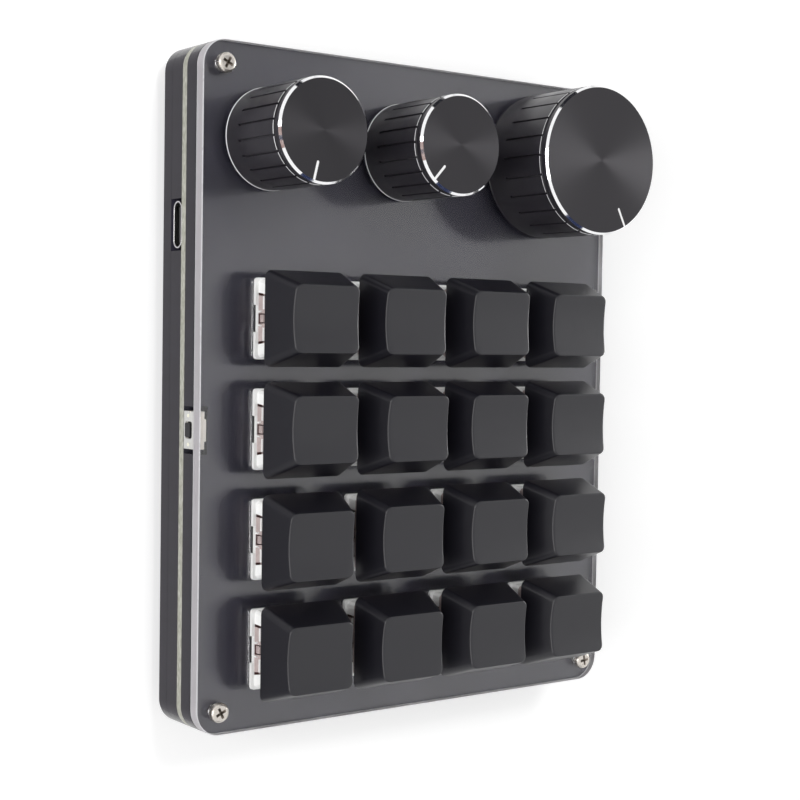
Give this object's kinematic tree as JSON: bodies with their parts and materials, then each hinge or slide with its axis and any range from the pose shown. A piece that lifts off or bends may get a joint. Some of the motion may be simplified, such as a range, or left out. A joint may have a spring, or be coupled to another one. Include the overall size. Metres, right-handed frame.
{
  "type": "macro keypad",
  "caption": "Desk keypad with a block of sprung mechanical keys, push-and-turn knobs, a cable socket and a side push button on a screwed stack of clear and black plates.",
  "frame": {"origin": "centre of the footprint, on the surface that the rubber feet stand on", "axes": "+Z out of the key faces, +Y along the long side towards the knobs, -X side holds the cable socket"},
  "size_m": [0.1022, 0.13, 0.0369],
  "materials": {
    "clear_acrylic": "clear, polished edge",
    "black_acrylic": "gloss",
    "board": "glass fibre board, pale edge",
    "screw_metal": "nickel plated",
    "foot_rubber": "matte",
    "switch_base": "white, moulded",
    "switch_top": "milky, moulded",
    "key_stem": "moulded",
    "keycap": "fine grain",
    "spring_steel": "bright wire",
    "contact_metal": "plated",
    "knob_metal": "black, turned, bright chamfer",
    "shaft_metal": "turned",
    "rotor_plastic": "moulded",
    "encoder_can": "folded sheet",
    "encoder_base": "moulded",
    "socket_shell": "plated",
    "socket_plastic": "moulded",
    "button_cover": "folded sheet",
    "button_plunger": "moulded",
    "chip": "moulded"
  },
  "bodies": {
    "root": {"clear_top_plate": "clear_acrylic", "switch_plate": "black_acrylic", "spacer_frame": "black_acrylic", "rear_plate": "black_acrylic", "circuit_board": "board", "corner_screws": "screw_metal", "corner_nuts": "screw_metal", "rubber_feet": "foot_rubber", "switch_bases": "switch_base", "switch_tops": "switch_top", "switch_springs": "spring_steel", "switch_pins": "contact_metal", "encoder_housings": "encoder_can", "encoder_bases": "encoder_base", "usb_socket_shell": "socket_shell", "usb_socket_tongue": "socket_plastic", "side_button_housing": "button_cover", "board_chips": "chip"},
    "key_r1c1": {"keycap_r1c1": "keycap", "stem_r1c1": "key_stem"},
    "key_r1c2": {"keycap_r1c2": "keycap", "stem_r1c2": "key_stem"},
    "key_r1c3": {"keycap_r1c3": "keycap", "stem_r1c3": "key_stem"},
    "key_r1c4": {"keycap_r1c4": "keycap", "stem_r1c4": "key_stem"},
    "key_r2c1": {"keycap_r2c1": "keycap", "stem_r2c1": "key_stem"},
    "key_r2c2": {"keycap_r2c2": "keycap", "stem_r2c2": "key_stem"},
    "key_r2c3": {"keycap_r2c3": "keycap", "stem_r2c3": "key_stem"},
    "key_r2c4": {"keycap_r2c4": "keycap", "stem_r2c4": "key_stem"},
    "key_r3c1": {"keycap_r3c1": "keycap", "stem_r3c1": "key_stem"},
    "key_r3c2": {"keycap_r3c2": "keycap", "stem_r3c2": "key_stem"},
    "key_r3c3": {"keycap_r3c3": "keycap", "stem_r3c3": "key_stem"},
    "key_r3c4": {"keycap_r3c4": "keycap", "stem_r3c4": "key_stem"},
    "key_r4c1": {"keycap_r4c1": "keycap", "stem_r4c1": "key_stem"},
    "key_r4c2": {"keycap_r4c2": "keycap", "stem_r4c2": "key_stem"},
    "key_r4c3": {"keycap_r4c3": "keycap", "stem_r4c3": "key_stem"},
    "key_r4c4": {"keycap_r4c4": "keycap", "stem_r4c4": "key_stem"},
    "rotor_left": {"encoder_rotor_left": "rotor_plastic"},
    "knob_left": {"knob_left": "knob_metal", "encoder_shaft_left": "shaft_metal"},
    "rotor_middle": {"encoder_rotor_middle": "rotor_plastic"},
    "knob_middle": {"knob_middle": "knob_metal", "encoder_shaft_middle": "shaft_metal"},
    "rotor_right": {"encoder_rotor_right": "rotor_plastic"},
    "knob_right": {"knob_right": "knob_metal", "encoder_shaft_right": "shaft_metal"},
    "side_button": {"side_button_plunger": "button_plunger"}
  },
  "joints": [
    {"name": "key_r1c1_press", "type": "slide", "parent": "root", "child": "key_r1c1", "axis": [0, 0, -1], "range_m": [0, 0.004], "stiffness_N_per_m": 75, "springref_m": -0.004, "deforming": ["switch_springs"]},
    {"name": "key_r1c2_press", "type": "slide", "parent": "root", "child": "key_r1c2", "axis": [0, 0, -1], "range_m": [0, 0.004], "stiffness_N_per_m": 75, "springref_m": -0.004, "deforming": ["switch_springs"]},
    {"name": "key_r1c3_press", "type": "slide", "parent": "root", "child": "key_r1c3", "axis": [0, 0, -1], "range_m": [0, 0.004], "stiffness_N_per_m": 75, "springref_m": -0.004, "deforming": ["switch_springs"]},
    {"name": "key_r1c4_press", "type": "slide", "parent": "root", "child": "key_r1c4", "axis": [0, 0, -1], "range_m": [0, 0.004], "stiffness_N_per_m": 75, "springref_m": -0.004, "deforming": ["switch_springs"]},
    {"name": "key_r2c1_press", "type": "slide", "parent": "root", "child": "key_r2c1", "axis": [0, 0, -1], "range_m": [0, 0.004], "stiffness_N_per_m": 75, "springref_m": -0.004, "deforming": ["switch_springs"]},
    {"name": "key_r2c2_press", "type": "slide", "parent": "root", "child": "key_r2c2", "axis": [0, 0, -1], "range_m": [0, 0.004], "stiffness_N_per_m": 75, "springref_m": -0.004, "deforming": ["switch_springs"]},
    {"name": "key_r2c3_press", "type": "slide", "parent": "root", "child": "key_r2c3", "axis": [0, 0, -1], "range_m": [0, 0.004], "stiffness_N_per_m": 75, "springref_m": -0.004, "deforming": ["switch_springs"]},
    {"name": "key_r2c4_press", "type": "slide", "parent": "root", "child": "key_r2c4", "axis": [0, 0, -1], "range_m": [0, 0.004], "stiffness_N_per_m": 75, "springref_m": -0.004, "deforming": ["switch_springs"]},
    {"name": "key_r3c1_press", "type": "slide", "parent": "root", "child": "key_r3c1", "axis": [0, 0, -1], "range_m": [0, 0.004], "stiffness_N_per_m": 75, "springref_m": -0.004, "deforming": ["switch_springs"]},
    {"name": "key_r3c2_press", "type": "slide", "parent": "root", "child": "key_r3c2", "axis": [0, 0, -1], "range_m": [0, 0.004], "stiffness_N_per_m": 75, "springref_m": -0.004, "deforming": ["switch_springs"]},
    {"name": "key_r3c3_press", "type": "slide", "parent": "root", "child": "key_r3c3", "axis": [0, 0, -1], "range_m": [0, 0.004], "stiffness_N_per_m": 75, "springref_m": -0.004, "deforming": ["switch_springs"]},
    {"name": "key_r3c4_press", "type": "slide", "parent": "root", "child": "key_r3c4", "axis": [0, 0, -1], "range_m": [0, 0.004], "stiffness_N_per_m": 75, "springref_m": -0.004, "deforming": ["switch_springs"]},
    {"name": "key_r4c1_press", "type": "slide", "parent": "root", "child": "key_r4c1", "axis": [0, 0, -1], "range_m": [0, 0.004], "stiffness_N_per_m": 75, "springref_m": -0.004, "deforming": ["switch_springs"]},
    {"name": "key_r4c2_press", "type": "slide", "parent": "root", "child": "key_r4c2", "axis": [0, 0, -1], "range_m": [0, 0.004], "stiffness_N_per_m": 75, "springref_m": -0.004, "deforming": ["switch_springs"]},
    {"name": "key_r4c3_press", "type": "slide", "parent": "root", "child": "key_r4c3", "axis": [0, 0, -1], "range_m": [0, 0.004], "stiffness_N_per_m": 75, "springref_m": -0.004, "deforming": ["switch_springs"]},
    {"name": "key_r4c4_press", "type": "slide", "parent": "root", "child": "key_r4c4", "axis": [0, 0, -1], "range_m": [0, 0.004], "stiffness_N_per_m": 75, "springref_m": -0.004, "deforming": ["switch_springs"]},
    {"name": "knob_left_turn", "type": "hinge", "parent": "root", "child": "rotor_left", "pos_m": [-0.037, 0.0472, 0.0145], "axis": [0, 0, 1], "continuous": true},
    {"name": "knob_left_push", "type": "slide", "parent": "rotor_left", "child": "knob_left", "axis": [0, 0, -1], "range_m": [0, 0.0005], "stiffness_N_per_m": 4000, "springref_m": -0.0005},
    {"name": "knob_middle_turn", "type": "hinge", "parent": "root", "child": "rotor_middle", "pos_m": [-0.0055, 0.0472, 0.0145], "axis": [0, 0, 1], "continuous": true},
    {"name": "knob_middle_push", "type": "slide", "parent": "rotor_middle", "child": "knob_middle", "axis": [0, 0, -1], "range_m": [0, 0.0005], "stiffness_N_per_m": 4000, "springref_m": -0.0005},
    {"name": "knob_right_turn", "type": "hinge", "parent": "root", "child": "rotor_right", "pos_m": [0.0315, 0.0472, 0.0145], "axis": [0, 0, 1], "continuous": true},
    {"name": "knob_right_push", "type": "slide", "parent": "rotor_right", "child": "knob_right", "axis": [0, 0, -1], "range_m": [0, 0.0005], "stiffness_N_per_m": 4000, "springref_m": -0.0005},
    {"name": "side_button_press", "type": "slide", "parent": "root", "child": "side_button", "axis": [1, 0, 0], "range_m": [0, 0.00025], "stiffness_N_per_m": 6000, "springref_m": -0.0002}
  ]
}
